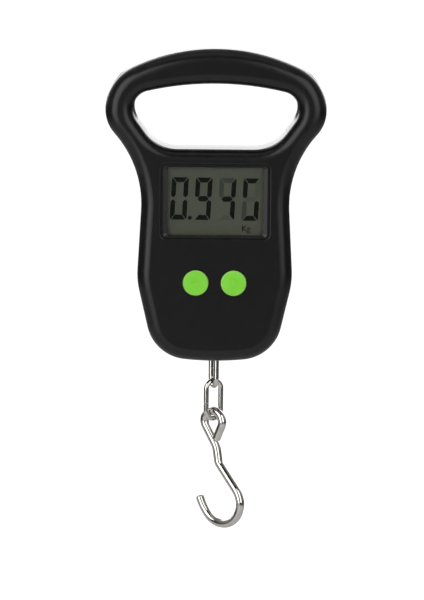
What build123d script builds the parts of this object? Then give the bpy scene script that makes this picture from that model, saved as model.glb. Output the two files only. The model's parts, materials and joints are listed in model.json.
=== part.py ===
from build123d import *
import os
from math import cos, radians, sin

os.makedirs("parts", exist_ok=True)

# Digital fish scale, millimetres. +Z is up and the front faces -Y. The origin is the middle of
# the underside of the handle's top bar, where the hand bears, halfway through the thickness.

# ---- casing: driving sizes ---------------------------------------------------------------
thickness = 24.0                # front face to rear face
half_depth = thickness / 2
wall = 2.0
front_round, hand_hole_round = 5.0, 4.5     # soft shoulders of the front, outside and at the opening
rear_round = 3.5
seam_gap = 0.2                  # shadow line between the two shells
tongue_depth = 1.3              # rear shell's lip, reaching into the front shell
tongue_inset = 1.1              # outer face of that lip, in from the casing's side
groove_inset = 1.0

bar_height = 13.6               # handle bar, underside to top, at its middle

# ---- window and display ------------------------------------------------------------------
window_z = -46.0
mouth_width, mouth_height = 42.6, 29.6      # recess where it meets the front face
slope_width, slope_height = 41.0, 28.5      # where its sloped sides begin, inside a narrow step
glass_width, glass_height = 38.0, 26.9      # clear opening at the foot of the recess
step_depth, recess_depth = 0.8, 1.5
mouth_round = 0.6
lens_width, lens_height, lens_thickness = 42.0, 29.2, 1.0
lens_front = -half_depth + wall + 0.05
lcd_front = -8.8
glass_plate = 1.1               # each of the display's two glass plates
lcd_width = 41.2
lcd_top = window_z + 14.6
lcd_ledge = window_z - 16.6     # lower edge of the front plate, which carries the contacts
lcd_bottom = window_z - 14.2    # lower edge of the shorter rear plate
holder_wall = 1.4
holder_gap = 0.15

# ---- circuit board and buttons -----------------------------------------------------------
board_front, board_rear = -4.8, -3.2
board_top, board_step, board_foot = -30.5, -71.0, -89.0
board_upper_half, board_lower_half = 23.0, 17.5
button_x, button_z = 7.5, -78.3
button_radius = 5.0
button_hole_radius = 5.3
button_proud = 0.6              # how far a cap stands out of the front face
flange_radius = 6.0
flange_front, flange_rear = -9.85, -9.25
switch_size, switch_front = 6.0, -8.3
plunger_radius, plunger_front, plunger_rear = 1.7, -9.2, -6.9

# ---- batteries and their door ------------------------------------------------------------
battery_radius, battery_length = 5.25, 44.5
battery_y, battery_z, battery_pitch = 4.6, -45.8, 11.2
upper_battery_z = battery_z + battery_pitch / 2
lower_battery_z = battery_z - battery_pitch / 2
nub_length = 1.0                # raised end of a cell
contact_x, contact_plate = 24.8, 0.4        # inner face of the contact plates, and their thickness
tail_spots = [(25.0, -41.5), (25.0, -50.5)]     # solder tails through the bay's floor
bay_half_width, bay_top, bay_bottom = 25.4, -33.4, -58.2
bay_floor, bay_wall = -1.0, 1.2
door_gap, door_thickness = 0.3, 1.8
latch_half_width = 4.0
tab_x, tab_half_width = 15.0, 3.0

# ---- load cell ---------------------------------------------------------------------------
cell_front, cell_rear = -2.3, 4.7
cell_half_width = 11.0
cell_top, cell_foot = -68.0, -99.0
beam_z = -83.5                  # middle of the sensing window
tongue_half_thickness, tongue_radius = 1.4, 5.5
hanger_hole_z, hanger_hole_radius = -102.5, 2.5
bracket_rear, bracket_half_width = 6.7, 20.0
bracket_top, bracket_foot = -66.5, -76.5
bracket_screw_x, cell_screw_x, bracket_screw_z = 16.5, 6.0, -71.5

# ---- chain and hook ----------------------------------------------------------------------
link_wire, link_bend = 2.0, 3.35            # wire diameter and centreline bend radius
link_gap, hook_gap = 0.15, 0.35             # play between a hanging piece and the bend that it hangs in
slot_width, slot_depth, slot_radius = 6.4, 13.0, 2.4    # where the chain leaves the casing
upper_link_turn, lower_link_turn, hook_turn = -72.0, 30.0, -35.0    # about +Z, from +X
upper_link_top, upper_link_length = -103.85, 18.0                   # wire centrelines
lower_link_length = 15.6
lower_link_top = upper_link_top - upper_link_length + link_wire + link_gap
hook_wire, eye_bend = 3.4, 4.3
eye_z = lower_link_top - lower_link_length + (link_wire + hook_wire) / 2 + hook_gap - eye_bend

# ---- screws ------------------------------------------------------------------------------
case_screw_spots = [
    (side * x, z) for side in (-1, 1) for x, z in ((37.6, -9.5), (27.9, -29.5), (20.5, -98.5))
]
case_boss_radius, case_shank_radius, case_head_radius = 2.6, 1.1, 2.2
case_head_seat = 8.0            # depth where the screw heads sit
board_screw_spots = [(19.5, -67.8), (-19.5, -67.8), (14.6, -86.3), (-14.6, -86.3)]
board_shank_radius, board_head_radius = 0.95, 1.8
cell_screw_spots = [(-cell_screw_x, bracket_screw_z), (cell_screw_x, bracket_screw_z)]
bracket_screw_spots = [(-bracket_screw_x, bracket_screw_z), (bracket_screw_x, bracket_screw_z)]


def facing(depth):
    """Sketch plane at y = depth: local x is X, local y is Z, and a positive extrusion goes to -Y."""
    return Plane.XZ.offset(-depth)


def casing_outline(inset):
    """Outer outline of the casing from the front, moved inward by inset."""
    with BuildSketch() as outline:
        with BuildLine():
            crown = JernArc((0, bar_height), (1, 0), 76.5, -25.5)
            shoulder = JernArc(crown @ 1, crown % 1, 18.4, -64.5)
            armpit = JernArc(shoulder @ 1, shoulder % 1, 14.0, -41.7)
            flank = JernArc(armpit @ 1, armpit % 1, 42.0, 44.9)
            side = PolarLine(flank @ 1, 23.5, direction=flank % 1)
            belly = JernArc(side @ 1, side % 1, 31.6, -16.1)
            taper = PolarLine(belly @ 1, 14.8, direction=belly % 1)
            corner = JernArc(taper @ 1, taper % 1, 16.8, -71.2)
            closing_turn = 90 - (16.1 - 3.2) - 71.2
            sole_radius = (corner @ 1).X / sin(radians(closing_turn))
            JernArc(corner @ 1, corner % 1, sole_radius, -closing_turn)
            mirror(about=Plane.YZ)
        make_face()
        if inset:
            offset(amount=-inset)
    return outline.sketch


def hand_hole_outline(margin):
    """Finger opening from the front, grown by margin."""
    with BuildSketch() as outline:
        with BuildLine():
            top = JernArc((0, 0), (1, 0), 120.0, -13)
            corner = JernArc(top @ 1, top % 1, 7.0, -77)
            side = JernArc(corner @ 1, corner % 1, 8.5, -36)
            slope = PolarLine(side @ 1, 5.5, direction=side % 1)
            heel = JernArc(slope @ 1, slope % 1, 15.5, -54)
            Line(heel @ 1, (0, (heel @ 1).Y))
            mirror(about=Plane.YZ)
        make_face()
        if margin:
            offset(amount=margin)
    return outline.sketch


def casing_profile(inset):
    """Casing with its finger opening, every edge moved into the wall by inset."""
    with BuildSketch() as profile:
        add(casing_outline(inset))
        add(hand_hole_outline(inset), mode=Mode.SUBTRACT)
    return profile.sketch


def foremost(part):
    """Edges of the part's face nearest the front."""
    return part.faces().sort_by(Axis.Y)[0].edges()


def round_rims(part, end, side_radius, hole_radius):
    """Round the outer rim, then the finger opening's rim, of the front (end 0) or rear (end -1)."""
    rim = part.faces().sort_by(Axis.Y)[end]
    fillet(rim.outer_wire().edges(), radius=side_radius)
    rim = part.faces().sort_by(Axis.Y)[end]
    fillet(rim.inner_wires()[0].edges(), radius=hole_radius)


# ---- front shell -------------------------------------------------------------------------
with BuildPart() as front_cavity:
    with BuildSketch(facing(0)):
        add(casing_profile(wall))
    extrude(amount=half_depth - wall)
    round_rims(front_cavity, 0, front_round - wall, hand_hole_round - wall)

with BuildPart() as front_shell:
    with BuildSketch(facing(0)):
        add(casing_profile(0))
    extrude(amount=half_depth)
    round_rims(front_shell, 0, front_round, hand_hole_round)
    add(front_cavity.part, mode=Mode.SUBTRACT)
    # groove that takes the rear shell's lip
    with BuildSketch(facing(0)):
        add(casing_profile(groove_inset))
        add(casing_profile(wall), mode=Mode.SUBTRACT)
    extrude(amount=tongue_depth + seam_gap, mode=Mode.SUBTRACT)
    # bosses for the case screws and posts for the board
    with BuildSketch(facing(0)):
        with Locations(*case_screw_spots):
            Circle(case_boss_radius)
    extrude(amount=half_depth - wall + 0.5)
    with BuildSketch(facing(board_front)):
        with Locations(*board_screw_spots):
            Circle(2.4)
    extrude(amount=half_depth - wall + 0.5 + board_front)
    # guide collars behind the buttons
    with BuildSketch(facing(-8.9)):
        with Locations((-button_x, button_z), (button_x, button_z)):
            Circle(flange_radius + 1.3)
            Circle(flange_radius + 0.2, mode=Mode.SUBTRACT)
    extrude(amount=1.6)
    # pilot holes
    with BuildSketch(facing(0)):
        with Locations(*case_screw_spots):
            Circle(case_shank_radius + 0.02)
    extrude(amount=7.0, mode=Mode.SUBTRACT)
    with BuildSketch(facing(board_front)):
        with Locations(*board_screw_spots):
            Circle(board_shank_radius + 0.02)
    extrude(amount=4.4, mode=Mode.SUBTRACT)
    # display recess: a narrow step with a soft lip, sloped sides, then a straight opening
    with BuildSketch(facing(-half_depth + step_depth)):
        with Locations((0, window_z)):
            RectangleRounded(mouth_width, mouth_height, 2.0)
    extrude(amount=step_depth + 1, mode=Mode.SUBTRACT)
    reach_x, reach_z = mouth_width / 2 + 0.1, mouth_height / 2 + 0.1
    lip = front_shell.edges().filter_by_position(Axis.Y, -half_depth - 0.01, -half_depth + 0.01)
    lip = lip.filter_by_position(Axis.X, -reach_x, reach_x)
    lip = lip.filter_by_position(Axis.Z, window_z - reach_z, window_z + reach_z)
    fillet(lip, radius=mouth_round)
    with BuildSketch(facing(-half_depth + step_depth)):
        with Locations((0, window_z)):
            RectangleRounded(slope_width, slope_height, 1.4)
    with BuildSketch(facing(-half_depth + recess_depth)):
        with Locations((0, window_z)):
            RectangleRounded(glass_width, glass_height, 1.0)
    loft(mode=Mode.SUBTRACT)
    with BuildSketch(facing(-half_depth + wall + 0.5)):
        with Locations((0, window_z)):
            RectangleRounded(glass_width, glass_height, 1.0)
    extrude(amount=wall, mode=Mode.SUBTRACT)
    # button holes, and the slot that the chain passes through
    with BuildSketch(facing(-half_depth + wall + 0.5)):
        with Locations((-button_x, button_z), (button_x, button_z)):
            Circle(button_hole_radius)
    extrude(amount=wall + 1, mode=Mode.SUBTRACT)
    with BuildSketch(Plane.XY.offset(-112)):
        RectangleRounded(slot_width, slot_depth, slot_radius)
    extrude(amount=5, mode=Mode.SUBTRACT)
front_shell.part.label = "front_shell"
export_step(front_shell.part, "parts/front_shell.step")


# ---- rear shell --------------------------------------------------------------------------
with BuildPart() as rear_cavity:
    with BuildSketch(facing(half_depth - wall)):
        add(casing_profile(wall))
    extrude(amount=half_depth - wall)
    round_rims(rear_cavity, -1, rear_round - wall, rear_round - wall)

with BuildPart() as rear_shell:
    with BuildSketch(facing(half_depth)):
        add(casing_profile(0))
    extrude(amount=half_depth - seam_gap)
    round_rims(rear_shell, -1, rear_round, rear_round)
    add(rear_cavity.part, mode=Mode.SUBTRACT)
    # lip along the seam
    with BuildSketch(facing(1.2)):
        add(casing_profile(tongue_inset))
        add(casing_profile(wall), mode=Mode.SUBTRACT)
    extrude(amount=1.2 + tongue_depth)
    # bosses for the case screws, for the bracket, and the shelves that carry its load
    with BuildSketch(facing(half_depth - wall + 0.5)):
        with Locations(*case_screw_spots):
            Circle(case_boss_radius + 0.9)
    extrude(amount=5.5)
    with BuildSketch(facing(half_depth - wall + 0.5)):
        with Locations(*case_screw_spots):
            Circle(case_boss_radius)
    extrude(amount=half_depth - wall + 0.5 - seam_gap)
    with BuildSketch(facing(half_depth - wall + 0.5)):
        with Locations(*bracket_screw_spots):
            Circle(3.2)
    extrude(amount=half_depth - wall + 0.5 - bracket_rear)
    with BuildSketch(facing(half_depth - wall + 0.5)):
        with Locations((-bracket_screw_x, bracket_foot - 1.2), (bracket_screw_x, bracket_foot - 1.2)):
            Rectangle(8, 2.2)
    extrude(amount=half_depth - wall + 0.5 - cell_rear)
    # battery bay: a tub hanging from the rear wall
    with BuildSketch(facing(half_depth - wall + 0.5)):
        with Locations((0, (bay_top + bay_bottom) / 2)):
            Rectangle(2 * (bay_half_width + bay_wall), bay_top - bay_bottom + 2 * bay_wall)
    extrude(amount=half_depth - wall + 0.5 - bay_floor + bay_wall)
    with BuildSketch(facing(half_depth)):
        with Locations((0, (bay_top + bay_bottom) / 2)):
            RectangleRounded(2 * bay_half_width, bay_top - bay_bottom, 0.8)
    extrude(amount=half_depth - bay_floor, mode=Mode.SUBTRACT)
    with BuildSketch(facing(1.5)):
        with Locations((0, battery_z)):
            Rectangle(36, 1.2)
    extrude(amount=1.5 - bay_floor)
    # slots in the bay's floor for the contacts' solder tails
    with BuildSketch(facing(0)):
        with Locations(*tail_spots):
            Rectangle(1.2, 2.0)
    extrude(amount=3, mode=Mode.SUBTRACT)
    # pockets for the door's tabs, and a scoop for the finger that opens it
    with BuildSketch(facing(half_depth - wall)):
        with Locations((-tab_x, bay_bottom), (tab_x, bay_bottom)):
            Rectangle(2 * tab_half_width + 0.8, 3.6)
    extrude(amount=2.4, mode=Mode.SUBTRACT)
    with BuildSketch(facing(half_depth)):
        with Locations((0, bay_top)):
            Circle(6.5)
    extrude(amount=1.1, mode=Mode.SUBTRACT)
    # screw holes with deep head recesses
    with BuildSketch(facing(half_depth)):
        with Locations(*case_screw_spots):
            Circle(case_head_radius + 0.35)
    extrude(amount=half_depth - case_head_seat, mode=Mode.SUBTRACT)
    with BuildSketch(facing(half_depth)):
        with Locations(*case_screw_spots):
            Circle(case_shank_radius + 0.25)
    extrude(amount=half_depth, mode=Mode.SUBTRACT)
    with BuildSketch(facing(9.8)):
        with Locations(*bracket_screw_spots):
            Circle(1.27)
    extrude(amount=6, mode=Mode.SUBTRACT)
    with BuildSketch(Plane.XY.offset(-112)):
        RectangleRounded(slot_width, slot_depth, slot_radius)
    extrude(amount=5, mode=Mode.SUBTRACT)
rear_shell.part.label = "rear_shell"
export_step(rear_shell.part, "parts/rear_shell.step")


# ---- display -----------------------------------------------------------------------------
with BuildPart() as window_lens:
    with BuildSketch(facing(lens_front + lens_thickness)):
        with Locations((0, window_z)):
            RectangleRounded(lens_width, lens_height, 1.0)
    extrude(amount=lens_thickness)
window_lens.part.label = "window_lens"
export_step(window_lens.part, "parts/window_lens.step")

with BuildPart() as lcd_panel:
    with BuildSketch(facing(lcd_front + glass_plate)):
        with Locations((0, (lcd_top + lcd_ledge) / 2)):
            Rectangle(lcd_width, lcd_top - lcd_ledge)
    extrude(amount=glass_plate)
    with BuildSketch(facing(lcd_front + 2 * glass_plate)):
        with Locations((0, (lcd_top + lcd_bottom) / 2)):
            Rectangle(lcd_width, lcd_top - lcd_bottom)
    extrude(amount=glass_plate)
lcd_panel.part.label = "lcd_panel"
export_step(lcd_panel.part, "parts/lcd_panel.step")

with BuildPart() as lcd_holder:
    holder_middle = (0, (lcd_top + lcd_ledge) / 2)
    pocket_width = lcd_width + 2 * holder_gap
    pocket_height = lcd_top - lcd_ledge + 2 * holder_gap
    with BuildSketch(facing(board_front - 0.05)):
        with Locations(holder_middle):
            RectangleRounded(pocket_width + 2 * holder_wall, pocket_height + 2 * holder_wall, 1.2)
    extrude(amount=4.0)
    with BuildSketch(facing(lcd_front + 2 * glass_plate + 0.05)):
        with Locations(holder_middle):
            Rectangle(pocket_width, pocket_height)
    extrude(amount=4, mode=Mode.SUBTRACT)
    with BuildSketch(facing(board_front)):
        with Locations((0, window_z)):
            Rectangle(34, 20)
        with Locations((0, lcd_ledge + 1.1)):
            Rectangle(39.6, 2.4)
    extrude(amount=4, mode=Mode.SUBTRACT)
lcd_holder.part.label = "lcd_holder"
export_step(lcd_holder.part, "parts/lcd_holder.step")

with BuildPart() as zebra_strip:
    with BuildSketch(facing(board_front - 0.02)):
        with Locations((0, lcd_ledge + 1.1)):
            Rectangle(39.0, 2.0)
    extrude(amount=board_front - 0.02 - (lcd_front + glass_plate) - 0.03)
zebra_strip.part.label = "zebra_strip"
export_step(zebra_strip.part, "parts/zebra_strip.step")


# ---- circuit board -----------------------------------------------------------------------
with BuildPart() as main_board:
    with BuildSketch(facing(board_rear)):
        with Locations((0, (board_top + board_step) / 2)):
            Rectangle(2 * board_upper_half, board_top - board_step)
        with Locations((0, (board_top + board_foot) / 2)):
            Rectangle(2 * board_lower_half, board_top - board_foot)
        with Locations(*board_screw_spots):
            Circle(board_shank_radius + 0.15, mode=Mode.SUBTRACT)
    extrude(amount=board_rear - board_front)
main_board.part.label = "main_board"
export_step(main_board.part, "parts/main_board.step")

with BuildPart() as controller_chip:
    with BuildSketch(facing(board_front)):
        with Locations((-3, -69)):
            Circle(3.2)
    extrude(amount=1.3)
    fillet(foremost(controller_chip), radius=1.1)
controller_chip.part.label = "controller_chip"
export_step(controller_chip.part, "parts/controller_chip.step")

resistor_spots = [(x, z) for x in (6, 10.5, -11) for z in (-67.5, -70.3)] + [(0, -87)]
capacitor_spots = [(-15.0, -77.0), (15.0, -77.0)]
with BuildPart() as board_components:
    with BuildSketch(facing(board_front)):
        with Locations(*resistor_spots):
            Rectangle(2.0, 1.25)
    extrude(amount=0.6)
    with BuildSketch(facing(board_front)):
        with Locations(*capacitor_spots):
            Rectangle(1.6, 3.2)
    extrude(amount=1.6)
    with BuildSketch(facing(board_front)):
        with Locations((0, -75.5)):
            SlotOverall(6.0, 2.2)
    extrude(amount=1.8)
board_components.part.label = "board_components"
export_step(board_components.part, "parts/board_components.step")


# ---- buttons and switches ----------------------------------------------------------------
def button_cap(x):
    """Round cap with a retaining flange behind the front wall, its symbol left to the caller."""
    with BuildPart() as cap:
        with BuildSketch(facing(flange_front)):
            with Locations((x, button_z)):
                Circle(button_radius)
        extrude(amount=half_depth + button_proud + flange_front)
        chamfer(foremost(cap), length=0.45)
        with BuildSketch(facing(flange_rear)):
            with Locations((x, button_z)):
                Circle(flange_radius)
        extrude(amount=flange_rear - flange_front)
    return cap.part


cap_face = -half_depth - button_proud
with BuildPart() as power_button:
    add(button_cap(-button_x))
    # sunk power sign: an open ring with a bar through the gap
    with BuildSketch(facing(cap_face + 0.15)):
        with Locations((-button_x, button_z)):
            Circle(1.9)
            Circle(1.4, mode=Mode.SUBTRACT)
            with Locations((0, 1.6)):
                Rectangle(1.5, 1.2, mode=Mode.SUBTRACT)
                Rectangle(0.5, 2.0)
    extrude(amount=1, mode=Mode.SUBTRACT)
power_button.part.label = "power_button"
export_step(power_button.part, "parts/power_button.step")

with BuildPart() as unit_button:
    add(button_cap(button_x))
    # sunk tare sign: an upright nought
    with BuildSketch(facing(cap_face + 0.15)):
        with Locations((button_x, button_z)):
            SlotOverall(4.2, 2.9, rotation=90)
            SlotOverall(3.2, 1.9, rotation=90, mode=Mode.SUBTRACT)
    extrude(amount=1, mode=Mode.SUBTRACT)
unit_button.part.label = "unit_button"
export_step(unit_button.part, "parts/unit_button.step")


def tact_switch(x):
    """Square switch body, open at the front for its plunger, on four short legs."""
    leg_reach = switch_size / 2 + 0.5
    with BuildPart() as switch:
        with BuildSketch(facing(board_front - 0.05)):
            with Locations((x, button_z)):
                Rectangle(switch_size, switch_size)
        extrude(amount=board_front - 0.05 - switch_front)
        with BuildSketch(facing(board_front)):
            with Locations((x, button_z)):
                with GridLocations(2 * leg_reach, 4.4, 2, 2):
                    Rectangle(1.2, 0.7)
        extrude(amount=0.4)
        with BuildSketch(facing(-5.9)):
            with Locations((x, button_z)):
                Circle(plunger_radius + 0.1)
        extrude(amount=4, mode=Mode.SUBTRACT)
    return switch.part


def switch_plunger(x):
    """Round plunger that the button cap pushes into its switch."""
    with BuildPart() as plunger:
        with BuildSketch(facing(plunger_rear)):
            with Locations((x, button_z)):
                Circle(plunger_radius)
        extrude(amount=plunger_rear - plunger_front)
    return plunger.part


for side, x in (("power", -button_x), ("unit", button_x)):
    body = tact_switch(x)
    body.label = side + "_switch"
    export_step(body, "parts/" + body.label + ".step")
    plunger = switch_plunger(x)
    plunger.label = side + "_plunger"
    export_step(plunger, "parts/" + plunger.label + ".step")


# ---- load cell ---------------------------------------------------------------------------
window_half_width, window_half_height = 8.0, 4.0
with BuildPart() as load_cell:
    with BuildSketch(facing(cell_rear)):
        with Locations((0, (cell_top + cell_foot) / 2)):
            Rectangle(2 * cell_half_width, cell_top - cell_foot)
        # two saw cuts make the S, and the middle beam has the sensing window
        with Locations((-2.25, beam_z + 6.4), (2.25, beam_z - 6.4)):
            Rectangle(2 * cell_half_width - 4.5, 2.0, mode=Mode.SUBTRACT)
        with Locations((0, beam_z)):
            RectangleRounded(2 * window_half_width, 2 * window_half_height, 2.4, mode=Mode.SUBTRACT)
        with Locations(*cell_screw_spots):
            Circle(2.02, mode=Mode.SUBTRACT)
    extrude(amount=cell_rear - cell_front)
    # hanging tongue with its eye
    with BuildSketch(facing(tongue_half_thickness)):
        with Locations((0, (cell_foot + hanger_hole_z) / 2 + 0.5)):
            Rectangle(2 * tongue_radius, cell_foot - hanger_hole_z + 1)
        with Locations((0, hanger_hole_z)):
            Circle(tongue_radius)
    extrude(amount=2 * tongue_half_thickness)
    with BuildSketch(facing(tongue_half_thickness)):
        with Locations((0, hanger_hole_z)):
            Circle(hanger_hole_radius)
    extrude(amount=2 * tongue_half_thickness, mode=Mode.SUBTRACT)
    eye_edges = load_cell.edges().filter_by(GeomType.CIRCLE)
    eye_edges = eye_edges.filter_by(lambda e: abs(e.radius - hanger_hole_radius) < 0.01)
    fillet(eye_edges, radius=tongue_half_thickness - 0.05)
load_cell.part.label = "load_cell"
export_step(load_cell.part, "parts/load_cell.step")

with BuildPart() as strain_gauges:
    gauge_lift = window_half_height - 0.1
    for x in (-3.8, 3.8):
        for z in (beam_z - gauge_lift, beam_z + gauge_lift):
            with BuildSketch(facing(3.2)):
                with Locations((x, z)):
                    Rectangle(3.0, 0.15)
            extrude(amount=4.0)
strain_gauges.part.label = "strain_gauges"
export_step(strain_gauges.part, "parts/strain_gauges.step")

with BuildPart() as gauge_sealant:
    with BuildSketch(facing(cell_rear - 0.4)):
        with Locations((0, beam_z)):
            RectangleRounded(2 * window_half_width - 0.6, 2 * window_half_height - 0.6, 2.0)
    extrude(amount=cell_rear - cell_front - 0.8)
gauge_sealant.part.label = "gauge_sealant"
export_step(gauge_sealant.part, "parts/gauge_sealant.step")

with BuildPart() as cell_bracket:
    with BuildSketch(facing(bracket_rear)):
        with Locations((0, (bracket_top + bracket_foot) / 2)):
            RectangleRounded(2 * bracket_half_width, bracket_top - bracket_foot, 1.5)
        with Locations(*cell_screw_spots):
            Circle(2.2, mode=Mode.SUBTRACT)
        with Locations(*bracket_screw_spots):
            Circle(1.45, mode=Mode.SUBTRACT)
    extrude(amount=bracket_rear - cell_rear)
cell_bracket.part.label = "cell_bracket"
export_step(cell_bracket.part, "parts/cell_bracket.step")


# ---- screws ------------------------------------------------------------------------------
def screws(spots, seat, outward, head_radius, head_height, shank_radius, length):
    """Pan-head screws along Y, heads on y = seat, on its +Y side if outward is 1, else -Y."""
    with BuildPart() as group:
        with BuildSketch(facing(seat)):
            with Locations(*spots):
                Circle(head_radius)
        extrude(amount=-outward * head_height)
        head_layer = -1 if outward == 1 else 0
        fillet(group.faces().group_by(Axis.Y)[head_layer].edges(), radius=0.5)
        with BuildSketch(facing(seat)):
            with Locations(*spots):
                Circle(shank_radius)
        extrude(amount=outward * length)
        # cross slot
        with BuildSketch(facing(seat + outward * head_height)):
            with Locations(*spots):
                Rectangle(head_radius * 1.2, 0.5)
                Rectangle(0.5, head_radius * 1.2)
        extrude(amount=outward * 0.8, mode=Mode.SUBTRACT)
    return group.part


screw_groups = {
    "case_screws": screws(
        case_screw_spots, case_head_seat, 1, case_head_radius, 1.6, case_shank_radius, 14.0
    ),
    "board_screws": screws(
        board_screw_spots, board_rear, 1, board_head_radius, 1.2, board_shank_radius, 5.4
    ),
    "cell_screws": screws(cell_screw_spots, bracket_rear, 1, 3.5, 2.2, 2.0, 8.0),
    "bracket_screws": screws(bracket_screw_spots, cell_rear, -1, 2.3, 1.6, 1.25, 4.8),
}
for name, group in screw_groups.items():
    group.label = name
    export_step(group, "parts/" + name + ".step")


# ---- batteries and contacts --------------------------------------------------------------
def battery(z, towards):
    """AAA cell along X, its raised end pointing towards +1 or -1."""
    start_x = towards * (contact_x - battery_length)
    start = Plane(origin=(start_x, battery_y, z), z_dir=(towards, 0, 0))
    with BuildPart() as cell:
        with BuildSketch(start):
            Circle(battery_radius)
        extrude(amount=battery_length - nub_length)
        fillet(cell.faces().filter_by(GeomType.PLANE).edges(), radius=0.6)
        with BuildSketch(start.offset(battery_length - nub_length)):
            Circle(1.9)
        extrude(amount=nub_length)
    return cell.part


upper_battery = battery(upper_battery_z, 1)
upper_battery.label = "upper_battery"
export_step(upper_battery, "parts/upper_battery.step")

lower_battery = battery(lower_battery_z, -1)
lower_battery.label = "lower_battery"
export_step(lower_battery, "parts/lower_battery.step")

with BuildPart() as battery_springs:
    for side, z in ((-1, upper_battery_z), (1, lower_battery_z)):
        with BuildLine() as coil:
            Helix(
                pitch=1.45,
                height=4.4,
                radius=3.4,
                center=(side * (contact_x - 0.25), battery_y, z),
                direction=(-side, 0, 0),
                cone_angle=-14,
            )
        with BuildSketch(Plane(origin=coil.line @ 0, z_dir=coil.line % 0)):
            Circle(0.25)
        sweep(path=coil.line, is_frenet=True)
battery_springs.part.label = "battery_springs"
export_step(battery_springs.part, "parts/battery_springs.step")

with BuildPart() as battery_contacts:
    # one plate joins the two cells on the left
    with BuildSketch(facing(9.4)):
        with Locations((-contact_x - 0.3, battery_z)):
            Rectangle(contact_plate, battery_pitch + 8)
    extrude(amount=9.8)
    # separate plates on the right, each with a solder tail through the bay's floor
    for z, tail_z in ((upper_battery_z, tail_spots[0][1]), (lower_battery_z, tail_spots[1][1])):
        with BuildSketch(facing(9.4)):
            with Locations((contact_x + 0.3, z)):
                Rectangle(contact_plate, 8.0)
        extrude(amount=9.8)
        with BuildSketch(facing(0)):
            with Locations((contact_x + 0.3, tail_z)):
                Rectangle(contact_plate, 1.5)
        extrude(amount=3.0)
battery_contacts.part.label = "battery_contacts"
export_step(battery_contacts.part, "parts/battery_contacts.step")


# ---- battery door ------------------------------------------------------------------------
with BuildPart() as battery_door:
    door_top, door_foot = bay_top - door_gap, bay_bottom + door_gap
    door_inner = half_depth - door_thickness
    with BuildSketch(facing(half_depth)):
        with Locations((0, (door_top + door_foot) / 2)):
            RectangleRounded(2 * (bay_half_width - door_gap), door_top - door_foot, 0.7)
    extrude(amount=door_thickness)
    # grip grooves under the finger scoop
    with BuildSketch(facing(half_depth)):
        with Locations((0, door_top - 6.0)):
            with GridLocations(1, 2.0, 1, 4):
                SlotOverall(14, 0.9)
    extrude(amount=0.5, mode=Mode.SUBTRACT)
    # two tabs that hook under the rear wall, below the door
    for x in (-tab_x, tab_x):
        with BuildSketch(facing(door_inner)):
            with Locations((x, door_foot + 0.75)):
                Rectangle(2 * tab_half_width, 1.5)
        extrude(amount=1.6)
        with BuildSketch(facing(half_depth - wall - door_gap)):
            with Locations((x, door_foot)):
                Rectangle(2 * tab_half_width, 3.0)
        extrude(amount=1.2)
    # spring latch at the top, with its nose
    with BuildSketch(facing(door_inner)):
        with Locations((0, door_top - 1.15)):
            Rectangle(2 * latch_half_width, 1.0)
    extrude(amount=2.4)
    with BuildSketch(facing(9.0)):
        with Locations((0, door_top - 0.5)):
            Rectangle(2 * latch_half_width, 0.5)
    extrude(amount=0.6)
battery_door.part.label = "battery_door"
export_step(battery_door.part, "parts/battery_door.step")


# ---- leads -------------------------------------------------------------------------------
def leads(routes, bend, radius):
    """Insulated wires that follow the given routes, with rounded bends."""
    with BuildPart() as wires:
        for route in routes:
            with BuildLine() as path:
                FilletPolyline(*route, radius=bend)
            with BuildSketch(Plane(origin=path.line @ 0, z_dir=path.line % 0)):
                Circle(radius)
            sweep(path=path.line)
    return wires.part


lead_y = (board_rear + cell_front) / 2
cell_routes = []
for i in range(4):
    start_z = beam_z + 1.8 - 1.2 * i
    pad_z = beam_z + 5.0 - 1.6 * i
    cell_routes.append([
        (3.0, cell_front, start_z),
        (6.0, lead_y, start_z),
        (9.5, lead_y, start_z),
        (14.0, lead_y, pad_z),
    ])
load_cell_leads = leads(cell_routes, 1.2, 0.35)
load_cell_leads.label = "load_cell_leads"
export_step(load_cell_leads, "parts/load_cell_leads.step")

tail_x, inner_x = contact_x + 0.3, contact_x - 0.9
battery_routes = [
    [
        (tail_x, lead_y, -42.8),
        (inner_x, lead_y, -46.0),
        (inner_x, lead_y, -60.5),
        (20.5, lead_y, -63.5),
    ],
    [(tail_x, lead_y, -51.8), (tail_x, lead_y, -62.0), (21.0, lead_y, -66.0)],
]
battery_leads = leads(battery_routes, 2.0, 0.4)
battery_leads.label = "battery_leads"
export_step(battery_leads, "parts/battery_leads.step")


# ---- chain -------------------------------------------------------------------------------
def hanging_plane(turn, height):
    """Vertical plane through the Z axis, turned about it: local x is level, local y is Z."""
    x_dir = (cos(radians(turn)), sin(radians(turn)), 0)
    z_dir = (sin(radians(turn)), -cos(radians(turn)), 0)
    return Plane(origin=(0, 0, height), x_dir=x_dir, z_dir=z_dir)


def chain_link(turn, top, length, joint_drop):
    """Bent-wire oval link. Its butt joint is in one leg, joint_drop below the top bend's centre."""
    leg = length - 2 * link_bend
    joint_gap = 0.12
    with BuildPart() as link:
        with BuildLine(hanging_plane(turn, top - link_bend)):
            rise = Line((-link_bend, -joint_drop), (-link_bend, 0))
            over = JernArc(rise @ 1, rise % 1, link_bend, -180)
            fall = PolarLine(over @ 1, leg, direction=over % 1)
            under = JernArc(fall @ 1, fall % 1, link_bend, -180)
            PolarLine(under @ 1, leg - joint_drop - joint_gap, direction=under % 1)
        with BuildSketch(Plane(origin=rise @ 0, z_dir=rise % 0)):
            Circle(link_wire / 2)
        sweep()
    return link.part


upper_link = chain_link(upper_link_turn, upper_link_top, upper_link_length, 7.8)
upper_link.label = "upper_link"
export_step(upper_link, "parts/upper_link.step")

lower_link = chain_link(lower_link_turn, lower_link_top, lower_link_length, 5.7)
lower_link.label = "lower_link"
export_step(lower_link, "parts/lower_link.step")


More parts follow.
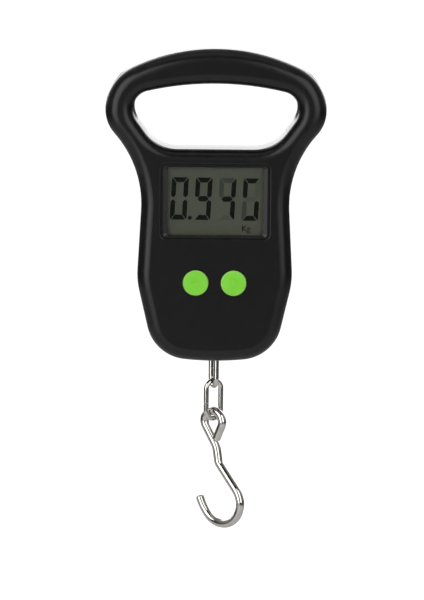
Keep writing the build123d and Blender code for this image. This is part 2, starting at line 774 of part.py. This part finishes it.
# ---- hook --------------------------------------------------------------------------------
eye_turn, closing_length = 24, 6.0          # the eye's end, which meets the neck and closes it
neck_turn = 33.7
with BuildPart() as hook:
    with BuildLine(hanging_plane(hook_turn, eye_z)):
        lean_x, lean_z = sin(radians(eye_turn)), cos(radians(eye_turn))
        eye_start = (eye_bend * lean_z, -eye_bend * lean_x)
        eye_end = (eye_start[0] - closing_length * lean_x, eye_start[1] - closing_length * lean_z)
        closing = Line(eye_end, eye_start)
        eye = JernArc(closing @ 1, closing % 1, eye_bend, eye_turn + 180 + neck_turn)
    with BuildSketch(Plane(origin=closing @ 0, z_dir=closing % 0)):
        Circle(hook_wire / 2)
    sweep()
    chamfer(hook.faces().filter_by(GeomType.PLANE).sort_by(Axis.Z)[0].edges(), length=0.35)
    with BuildLine(hanging_plane(hook_turn, eye_z)):
        neck_x, neck_z = sin(radians(neck_turn)), cos(radians(neck_turn))
        neck_start = (-eye_bend * neck_z, -eye_bend * neck_x)
        neck = Line(neck_start, (neck_start[0] + 7.7 * neck_x, neck_start[1] - 7.7 * neck_z))
        neck_bend = JernArc(neck @ 1, neck % 1, 8.3, -24.2)
        shank = PolarLine(neck_bend @ 1, 3.8, direction=neck_bend % 1)
        kink = JernArc(shank @ 1, shank % 1, 3.5, 31)
        slope = PolarLine(kink @ 1, 12.2, direction=kink % 1)
        bowl = JernArc(slope @ 1, slope % 1, 9.05, -177.9)
        JernArc(bowl @ 1, bowl % 1, 20.2, -23.8)
    with BuildSketch(Plane(origin=neck @ 0, z_dir=neck % 0)):
        Circle(hook_wire / 2)
    sweep()
    chamfer(hook.faces().filter_by(GeomType.PLANE).sort_by(Axis.Z)[0].edges(), length=0.35)
hook.part.label = "hook"
export_step(hook.part, "parts/hook.step")
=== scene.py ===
import json
import math

import bpy
from mathutils import Matrix, Vector


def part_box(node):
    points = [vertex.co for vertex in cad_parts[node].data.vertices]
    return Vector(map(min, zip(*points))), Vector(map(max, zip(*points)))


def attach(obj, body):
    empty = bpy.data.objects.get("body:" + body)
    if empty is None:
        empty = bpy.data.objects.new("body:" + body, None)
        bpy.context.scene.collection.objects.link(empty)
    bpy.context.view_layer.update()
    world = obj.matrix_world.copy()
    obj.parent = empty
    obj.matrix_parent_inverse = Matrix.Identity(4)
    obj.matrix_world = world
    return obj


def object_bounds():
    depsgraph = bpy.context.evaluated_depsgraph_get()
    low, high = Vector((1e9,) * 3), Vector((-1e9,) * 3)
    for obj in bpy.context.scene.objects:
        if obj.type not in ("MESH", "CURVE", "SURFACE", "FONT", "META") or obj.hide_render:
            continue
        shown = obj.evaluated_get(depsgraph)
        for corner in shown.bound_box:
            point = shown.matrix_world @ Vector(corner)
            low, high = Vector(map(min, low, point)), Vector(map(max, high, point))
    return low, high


MM = 0.001

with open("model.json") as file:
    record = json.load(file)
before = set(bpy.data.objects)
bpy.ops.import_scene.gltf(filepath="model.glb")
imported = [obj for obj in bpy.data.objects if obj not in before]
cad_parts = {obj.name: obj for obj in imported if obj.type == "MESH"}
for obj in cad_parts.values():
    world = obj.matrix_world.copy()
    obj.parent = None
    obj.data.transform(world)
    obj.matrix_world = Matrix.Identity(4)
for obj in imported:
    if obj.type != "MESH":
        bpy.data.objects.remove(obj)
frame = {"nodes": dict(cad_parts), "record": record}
nodes = frame["nodes"]
cad_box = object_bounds()


def new_node(tree, kind, **settings):
    made = tree.nodes.new(kind)
    for key, value in settings.items():
        setattr(made, key, value)
    return made


def set_range(ranged, low, high, to_low, to_high):
    """Makes a Map Range node take low..high to to_low..to_high."""
    sockets = ("From Min", "From Max", "To Min", "To Max")
    for socket, number in zip(sockets, (low, high, to_low, to_high)):
        ranged.inputs[socket].default_value = number


# ---- node materials ------------------------------------------------------------------------
class Recipe:
    """A material under construction: its Principled shader and short ways to wire textures into it."""

    def __init__(self, name, colour, roughness, **sockets):
        self.material = bpy.data.materials.new(name)
        self.material.use_nodes = True
        self.tree = self.material.node_tree
        self.shader = self.tree.nodes["Principled BSDF"]
        self.base = colour
        self.shader.inputs["Base Color"].default_value = (*colour, 1)
        self.shader.inputs["Roughness"].default_value = roughness
        for socket, value in sockets.items():
            self.shader.inputs[socket.replace("_", " ")].default_value = value
        self.place = self.node("ShaderNodeTexCoord").outputs["Object"]
        self.bumps = None

    def node(self, kind, **settings):
        return new_node(self.tree, kind, **settings)

    def wire(self, output, target):
        self.tree.links.new(output, target)

    def stretched(self, scale, turn=(0, 0, 0)):
        mapping = self.node("ShaderNodeMapping")
        mapping.inputs["Scale"].default_value = scale
        mapping.inputs["Rotation"].default_value = turn
        self.wire(self.place, mapping.inputs["Vector"])
        return mapping.outputs["Vector"]

    def noise(self, size, detail=3.0, roughness=0.5, vector=None):
        """Noise whose blobs are about size millimetres across."""
        texture = self.node("ShaderNodeTexNoise")
        texture.inputs["Scale"].default_value = 1 / (size * MM)
        texture.inputs["Detail"].default_value = detail
        texture.inputs["Roughness"].default_value = roughness
        self.wire(vector or self.place, texture.inputs["Vector"])
        return texture.outputs["Fac"]

    def cells(self, size, feature="F1", vector=None):
        texture = self.node("ShaderNodeTexVoronoi", feature=feature)
        texture.inputs["Scale"].default_value = 1 / (size * MM)
        self.wire(vector or self.place, texture.inputs["Vector"])
        return texture.outputs["Distance"]

    def span(self, value, low, high, to_low=0.0, to_high=1.0):
        """value's range low..high stretched to to_low..to_high, and held there outside it."""
        ranged = self.node("ShaderNodeMapRange", interpolation_type="SMOOTHSTEP")
        set_range(ranged, low, high, to_low, to_high)
        self.wire(value, ranged.inputs["Value"])
        return ranged.outputs["Result"]

    def times(self, a, b):
        maths = self.node("ShaderNodeMath", operation="MULTIPLY")
        self.wire(a, maths.inputs[0])
        if isinstance(b, (int, float)):
            maths.inputs[1].default_value = b
        else:
            self.wire(b, maths.inputs[1])
        return maths.outputs[0]

    def squareness(self):
        """1 on faces square to Y, 0 on the walls along it, between the two on rounded rims."""
        parts = self.node("ShaderNodeSeparateXYZ")
        self.wire(self.node("ShaderNodeTexCoord").outputs["Normal"], parts.inputs[0])
        size = self.node("ShaderNodeMath", operation="ABSOLUTE")
        self.wire(parts.outputs["Y"], size.inputs[0])
        return size.outputs[0]

    def rims(self):
        """1 on rounded and bevelled rims, where hands and pockets rub; the green buttons also use it for a
        painted highlight.
        """
        squareness = self.squareness()
        return self.times(self.span(squareness, 0.15, 0.4), self.span(squareness, 0.97, 0.85))

    def tint(self, amount, colour):
        """Mixes colour over what the base colour is so far."""
        mix = self.node("ShaderNodeMix", data_type="RGBA")
        incoming = self.shader.inputs["Base Color"]
        mix.inputs[6].default_value = (*self.base, 1)
        if incoming.is_linked:
            self.wire(incoming.links[0].from_socket, mix.inputs[6])
        mix.inputs[7].default_value = (*colour, 1)
        self.wire(amount, mix.inputs[0])
        self.wire(mix.outputs[2], incoming)

    def rough(self, value):
        self.wire(value, self.shader.inputs["Roughness"])

    def bump(self, height, depth, strength=1.0):
        """Adds relief depth millimetres deep."""
        bump = self.node("ShaderNodeBump")
        bump.inputs["Distance"].default_value = depth * MM
        bump.inputs["Strength"].default_value = strength
        self.wire(height, bump.inputs["Height"])
        if self.bumps:
            self.wire(self.bumps, bump.inputs["Normal"])
        self.bumps = bump.outputs["Normal"]
        self.wire(self.bumps, self.shader.inputs["Normal"])


def moulded(name, colour, roughness, grain, depth, wear, **sockets):
    """Injection-moulded plastic: grain of a size and depth in millimetres, scuffs, edges rubbed to wear."""
    r = Recipe(name, colour, roughness, **sockets)
    patches = r.noise(14, 4, 0.6)
    r.tint(r.span(patches, 0.35, 0.7, 0, 0.3), tuple(c * 1.35 for c in colour))
    scuffs = r.noise(3.5, 6, 0.75)
    rubbed = r.times(r.rims(), r.span(scuffs, 0.45, 0.7))
    r.tint(r.times(rubbed, 0.6), wear)
    r.rough(r.span(scuffs, 0.3, 0.75, roughness * 0.97, roughness * 1.06))
    r.bump(r.noise(grain, 2, 0.5), depth)
    r.bump(r.noise(22, 1, 0.4), 0.05)
    return r


def metal(name, colour, roughness, brushing, depth, patch=3.0, **sockets):
    """Metal with lines drawn along Z and dull patches, their sizes and the lines' depth in millimetres."""
    r = Recipe(name, colour, roughness, Metallic=1.0, **sockets)
    lines = r.noise(brushing, 3, 0.6, r.stretched((1, 1, 0.12)))
    patches = r.noise(patch, 5, 0.65)
    r.tint(r.span(patches, 0.45, 0.75, 0, 0.5), tuple(c * 0.72 for c in colour))
    r.rough(r.span(patches, 0.3, 0.7, roughness * 0.7, roughness * 1.6))
    r.bump(lines, depth)
    return r


looks = {}
front = moulded(
    "satin_black_plastic", (0.0031, 0.0031, 0.0032), 0.29, 0.32, 0.008, (0.014, 0.014, 0.015), IOR=1.43
)
textured = front.span(front.squareness(), 0.1, 0.5, 0.5, 1.0)
front.rough(front.times(front.shader.inputs["Roughness"].links[0].from_socket, textured))
looks["casing_front"] = front
looks["casing_rear"] = moulded(
    "gloss_black_plastic", (0.006, 0.006, 0.0065), 0.12, 0.9, 0.002, (0.03, 0.03, 0.03), IOR=1.5
)

lens = Recipe("clear_acrylic", (0.03, 0.035, 0.03), 0.05, IOR=1.49, Alpha=0.08)
lens.rough(lens.span(lens.noise(6, 5, 0.7), 0.35, 0.75, 0.03, 0.12))
lens.bump(lens.noise(18, 2), 0.01)
looks["clear_window"] = lens

display = Recipe("display_glass", (0.094, 0.100, 0.073), 0.35, IOR=1.3)
display.tint(display.span(display.noise(26, 2), 0.3, 0.7, 0, 0.5), (0.084, 0.094, 0.072))
display.tint(display.span(display.noise(0.12, 2), 0.4, 0.8, 0, 0.35), (0.108, 0.114, 0.086))
display.bump(display.noise(0.2, 2), 0.002)
looks["display_glass"] = display

green = Recipe("green_plastic", (0.225, 0.70, 0.05), 0.34, IOR=1.4, Subsurface_Weight=0.08)
green.shader.inputs["Subsurface Radius"].default_value = (0.0008, 0.0016, 0.0004)
green.tint(green.span(green.noise(5, 4, 0.6), 0.35, 0.7, 0, 0.5), (0.25, 0.74, 0.062))
# painted highlight: the button's rounded rim is tinted a lighter green
green.tint(green.times(green.rims(), 0.8), (0.42, 0.86, 0.2))
green.rough(green.span(green.noise(2.2, 5, 0.7), 0.3, 0.75, 0.24, 0.42))
green.bump(green.noise(0.25, 2), 0.006)
looks["green_button"] = green

looks["chrome_wire"] = metal("bright_chrome", (0.66, 0.64, 0.61), 0.075, 2.5, 0.0003)
looks["cell_aluminium"] = metal("machined_aluminium", (0.75, 0.75, 0.76), 0.3, 0.2, 0.006)
looks["plated_steel"] = metal("zinc_plated_steel", (0.60, 0.58, 0.53), 0.28, 0.3, 0.004)
looks["spring_steel"] = metal("nickel_plated_steel", (0.68, 0.66, 0.62), 0.2, 0.15, 0.002)
looks["battery_jacket"] = metal(
    "battery_jacket_foil", (0.50, 0.52, 0.55), 0.34, 3.0, 0.001, patch=14
)

looks["white_plastic"] = moulded(
    "white_plastic", (0.78, 0.78, 0.74), 0.45, 0.4, 0.01, (0.6, 0.58, 0.52)
)
looks["switch_plastic"] = moulded(
    "switch_black_plastic", (0.03, 0.03, 0.03), 0.4, 0.3, 0.01, (0.08, 0.08, 0.08)
)
looks["black_resin"] = moulded(
    "black_resin", (0.012, 0.012, 0.012), 0.18, 1.5, 0.02, (0.03, 0.03, 0.03)
)
looks["component"] = moulded(
    "ceramic_component", (0.30, 0.24, 0.18), 0.4, 0.3, 0.01, (0.6, 0.58, 0.55)
)

board = Recipe("green_circuit_board", (0.012, 0.11, 0.035), 0.3, IOR=1.5)
tracks = board.node("ShaderNodeTexBrick", offset=0.37, squash=1.6, squash_frequency=3)
tracks.inputs["Scale"].default_value = 420
tracks.inputs["Mortar Size"].default_value = 0.09
tracks.inputs["Row Height"].default_value = 0.35
board.wire(board.stretched((1, 1, 1), (math.pi / 2, 0, 0)), tracks.inputs["Vector"])
board.tint(board.times(tracks.outputs["Fac"], 0.75), (0.03, 0.22, 0.07))
board.tint(board.span(board.cells(3.4), 0.1, 0.13, 1, 0), (0.62, 0.58, 0.48))
board.bump(tracks.outputs["Fac"], 0.03)
board.bump(board.noise(0.5, 2), 0.004)
looks["circuit_board"] = board

zebra = Recipe("zebra_elastomer", (0.5, 0.5, 0.48), 0.6)
layers = zebra.node("ShaderNodeTexWave", bands_direction="X")
layers.inputs["Scale"].default_value = 700
zebra.wire(zebra.place, layers.inputs["Vector"])
zebra.tint(zebra.span(layers.outputs["Fac"], 0.4, 0.6), (0.04, 0.04, 0.04))
zebra.bump(layers.outputs["Fac"], 0.02)
looks["elastomer"] = zebra

foil = Recipe("gauge_foil", (0.55, 0.30, 0.06), 0.3)
grid = foil.node("ShaderNodeTexWave", bands_direction="X")
grid.inputs["Scale"].default_value = 900
foil.wire(foil.place, grid.inputs["Vector"])
foil.tint(foil.span(grid.outputs["Fac"], 0.45, 0.6, 0, 0.8), (0.75, 0.62, 0.4))
foil.bump(grid.outputs["Fac"], 0.01)
looks["gauge_foil"] = foil


def soft_rubber(name, colour, roughness, size):
    r = Recipe(name, colour, roughness)
    r.tint(r.span(r.noise(size, 4, 0.6), 0.35, 0.7, 0, 0.6), tuple(c * 0.7 for c in colour))
    r.rough(r.span(r.noise(size * 0.5, 4), 0.3, 0.7, roughness - 0.1, roughness + 0.12))
    r.bump(r.noise(size * 0.4, 3), 0.03)
    return r


looks["sealant"] = soft_rubber("white_silicone", (0.82, 0.82, 0.78), 0.45, 2.5)
looks["red_insulation"] = soft_rubber("red_pvc", (0.45, 0.02, 0.015), 0.4, 1.5)
looks["white_insulation"] = soft_rubber("white_pvc", (0.72, 0.72, 0.68), 0.4, 1.5)

slot_of = {part["node"]: part["material_slot"] for part in frame["record"]["subparts"]}
for name, obj in nodes.items():
    obj.data.materials.clear()
    obj.data.materials.append(looks[slot_of[name]].material)


# ---- what the display shows ----------------------------------------------------------------
lcd_low, lcd_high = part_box("lcd_panel")
glass_front = lcd_low.y
ink_thickness = 0.03 * MM
digit_width, digit_height, digit_pitch = 6.6, 16.8, 9.4      # all in millimetres
upright, crossbar, middle_bar = 1.8, 1.95, 2.1
slant = math.tan(math.radians(2.6))
tilt = math.radians(0.5)
first_digit_x, digits_z = -14.2, -45.25
seam = 0.17


def segment_outline(name):
    """Corners of one segment of a seven-segment digit, in millimetres from the digit's middle."""
    w, h = digit_width / 2, digit_height / 2
    tip = 1.25
    if name in "ad":
        sign = 1 if name == "a" else -1
        outer, inner = sign * h, sign * (h - crossbar)
        shoulder, reach = w - 0.55, w - upright - seam
        return [(-shoulder, outer), (shoulder, outer), (reach, inner), (-reach, inner)]
    if name == "g":
        point = w - upright / 2 - seam
        flat, half = point - 0.9, middle_bar / 2
        return [(-flat, half), (flat, half), (point, 0), (flat, -half), (-flat, -half), (-point, 0)]
    side = 1 if name in "bc" else -1
    up = 1 if name in "bf" else -1
    return [
        (side * w, up * (h - 0.55)),
        (side * w, up * tip),
        (side * (w - upright / 2), up * (seam + 0.25)),
        (side * (w - upright), up * tip),
        (side * (w - upright), up * (h - crossbar - seam)),
        (side * (w - 0.3), up * (h - 0.3)),
    ]


def inked(name, outlines, material):
    """A thin printed layer on the display's front glass, from outlines of (x, z) in millimetres."""
    verts, faces = [], []
    middle = (lcd_low + lcd_high) / 2
    for outline in outlines:
        start, count = len(verts), len(outline)
        for y in (glass_front - ink_thickness, glass_front + ink_thickness / 3):
            for x, z in outline:
                dz = z * MM - middle.z
                verts.append((x * MM + dz * math.sin(tilt), y, middle.z + dz - x * MM * math.sin(tilt)))
        ring = list(range(count))
        faces.append([start + i for i in ring])
        faces.append([start + count + i for i in reversed(ring)])
        for i in ring:
            j = (i + 1) % count
            faces.append([start + i, start + count + i, start + count + j, start + j])
    mesh = bpy.data.meshes.new(name)
    mesh.from_pydata(verts, [], faces)
    mesh.validate()
    mesh.update()
    piece = bpy.data.objects.new(name, mesh)
    bpy.context.scene.collection.objects.link(piece)
    mesh.materials.append(material)
    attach(piece, "housing")
    return piece


def digit_segments(column, letters):
    """Slanted outlines of the lettered segments of one digit."""
    x0 = first_digit_x + column * digit_pitch
    outlines = []
    for letter in letters:
        corners = segment_outline(letter)
        outlines.append([(x0 + x + z * slant, digits_z + z) for x, z in corners])
    return outlines


def ink(name, colour, fade):
    r = Recipe(name, colour, 0.5, IOR=1.15)
    r.tint(r.span(r.noise(4, 3), 0.3, 0.7, 0, 0.5), fade)
    r.bump(r.noise(0.3, 2), 0.002)
    return r.material


dark_ink = ink("display_ink", (0.0015, 0.002, 0.0012), (0.003, 0.004, 0.0025))
fading_ink = ink("display_ink_fading", (0.048, 0.058, 0.050), (0.056, 0.066, 0.054))
faint_ink = ink("display_ink_faint", (0.078, 0.090, 0.070), (0.084, 0.094, 0.073))

dark, fading, faint = [], [], []
lettered = [("abcdef", "", ""), ("abcdfg", "", ""), ("bcg", "af", "d"), ("acdf", "e", "bg")]
for column, (on, half_on, ghost) in enumerate(lettered):
    dark += digit_segments(column, on)
    fading += digit_segments(column, half_on)
    faint += digit_segments(column, ghost)
point_x, point_z, point_radius = -9.9, -52.9, 0.78
point_corners = 20
turns = [2 * math.pi * i / point_corners for i in range(point_corners)]
dark.append([
    (point_x + point_radius * math.cos(t), point_z - point_radius * math.sin(t)) for t in turns
])
inked("display_digits", dark, dark_ink)
inked("display_digits_fading", fading, fading_ink)
inked("display_digits_faint", faint, faint_ink)

unit_x, unit_z = 10.4, -58.0
unit_text = bpy.data.curves.new("display_unit", "FONT")
unit_text.body = "Kg"
unit_text.size = 3.3 * MM
unit_text.extrude = ink_thickness / 2
unit_text.offset = 0.02 * MM
unit = bpy.data.objects.new("display_unit", unit_text)
bpy.context.scene.collection.objects.link(unit)
unit.rotation_euler = (math.pi / 2, 0, 0)
unit.location = (unit_x * MM, glass_front - ink_thickness / 2, unit_z * MM)
unit_text.materials.append(dark_ink)
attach(unit, "housing")


# ---- stage, light and camera ---------------------------------------------------------------
low, high = cad_box
scene = bpy.context.scene
scene.view_settings.view_transform = "Standard"

floor_mesh = bpy.data.meshes.new("floor")
reach, drop = 30.0, 0.27
corners = [(-reach, -reach), (reach, -reach), (reach, reach), (-reach, reach)]
floor_mesh.from_pydata([(x, y, low.z - drop) for x, y in corners], [], [(0, 1, 2, 3)])
floor = bpy.data.objects.new("floor", floor_mesh)
scene.collection.objects.link(floor)
paper = Recipe("pale_paper", (0.8, 0.8, 0.8), 0.9)    # painted pool of light: pale nearby, painted shade darker far out
distance_out = paper.node("ShaderNodeVectorMath", operation="LENGTH")
paper.wire(paper.place, distance_out.inputs[0])
# painted shade: the floor's colour darkens with distance from the object
paper.tint(paper.span(distance_out.outputs["Value"], 0.7, 1.8), (0.16, 0.16, 0.16))
seen_directly = paper.node("ShaderNodeLightPath").outputs["Is Camera Ray"]
paper.shader.inputs["Emission Color"].default_value = (1, 1, 1, 1)
paper.wire(seen_directly, paper.shader.inputs["Emission Strength"])
floor_mesh.materials.append(paper.material)

world = bpy.data.worlds.new("studio")
scene.world = world
world.use_nodes = True
tree = world.node_tree
air = tree.nodes["Background"]


direction = new_node(tree, "ShaderNodeSeparateXYZ")
tree.links.new(new_node(tree, "ShaderNodeTexCoord").outputs["Generated"], direction.inputs[0])


def glow_towards(axis, start, end, amount):
    ranged = new_node(tree, "ShaderNodeMapRange", interpolation_type="SMOOTHSTEP")
    set_range(ranged, start, end, 0, amount)
    tree.links.new(direction.outputs[axis], ranged.inputs["Value"])
    return ranged.outputs["Result"]


def joined(operation, a, b):
    maths = new_node(tree, "ShaderNodeMath", operation=operation)
    tree.links.new(a, maths.inputs[0])
    tree.links.new(b, maths.inputs[1])
    return maths.outputs[0]


# the room glows at the sides and, low down, behind the object; the camera itself sees white
sides = glow_towards("Y", -0.7, 0.2, 0.3)
behind = joined("MULTIPLY", glow_towards("Y", 0.6, 0.85, 1.3), glow_towards("Z", 0.36, 0.18, 1.0))
white = new_node(tree, "ShaderNodeLightPath").outputs["Is Camera Ray"]
strength = joined("ADD", joined("ADD", sides, behind), white)
tree.links.new(strength, air.inputs["Strength"])
air.inputs["Color"].default_value = (1, 1, 1, 1)


casing_middle = -60 * MM


def softbox(name, azimuth, elevation, distance, width, height, power):
    """A soft light aimed at the middle of the casing. Azimuth 0 is in front, 90 on the right."""
    a, e = math.radians(azimuth), math.radians(elevation)
    target = Vector((0, 0, casing_middle))
    away = Vector((math.sin(a) * math.cos(e), -math.cos(a) * math.cos(e), math.sin(e)))
    light = bpy.data.lights.new(name, "AREA")
    light.shape = "RECTANGLE"
    light.size, light.size_y = width, height
    light.energy = power
    obj = bpy.data.objects.new(name, light)
    obj.location = target + away * distance
    obj.rotation_euler = away.to_track_quat("Z", "Y").to_euler()
    scene.collection.objects.link(obj)


softbox("left_softbox", -33, 13, 1.5, 1.05, 1.5, 13)
softbox("right_softbox", 33, 17, 1.5, 1.1, 1.35, 9)
softbox("top_softbox", 0, 75, 1.6, 1.4, 0.8, 1.4)
softbox("rear_left_softbox", -150, 25, 1.8, 1.0, 1.2, 6)
softbox("rear_right_softbox", 150, 25, 1.8, 1.0, 1.2, 6)

camera_data = bpy.data.cameras.new("camera")
camera_data.lens, camera_data.sensor_width = 150, 36
camera_data.clip_end = 200
camera = bpy.data.objects.new("camera", camera_data)
scene.collection.objects.link(camera)
elevation, roll, distance = math.radians(9.3), math.radians(0.5), 1.0
aim_side, aim_below_top = -0.94 * MM, 100.6 * MM
aim = Vector((aim_side, 0, high.z - aim_below_top))
back = Vector((0, -math.cos(elevation), math.sin(elevation)))
camera.location = aim + back * distance
look = back.to_track_quat("Z", "Y").to_matrix().to_4x4()
camera.rotation_euler = (look @ Matrix.Rotation(roll, 4, "Z")).to_euler()
scene.camera = camera
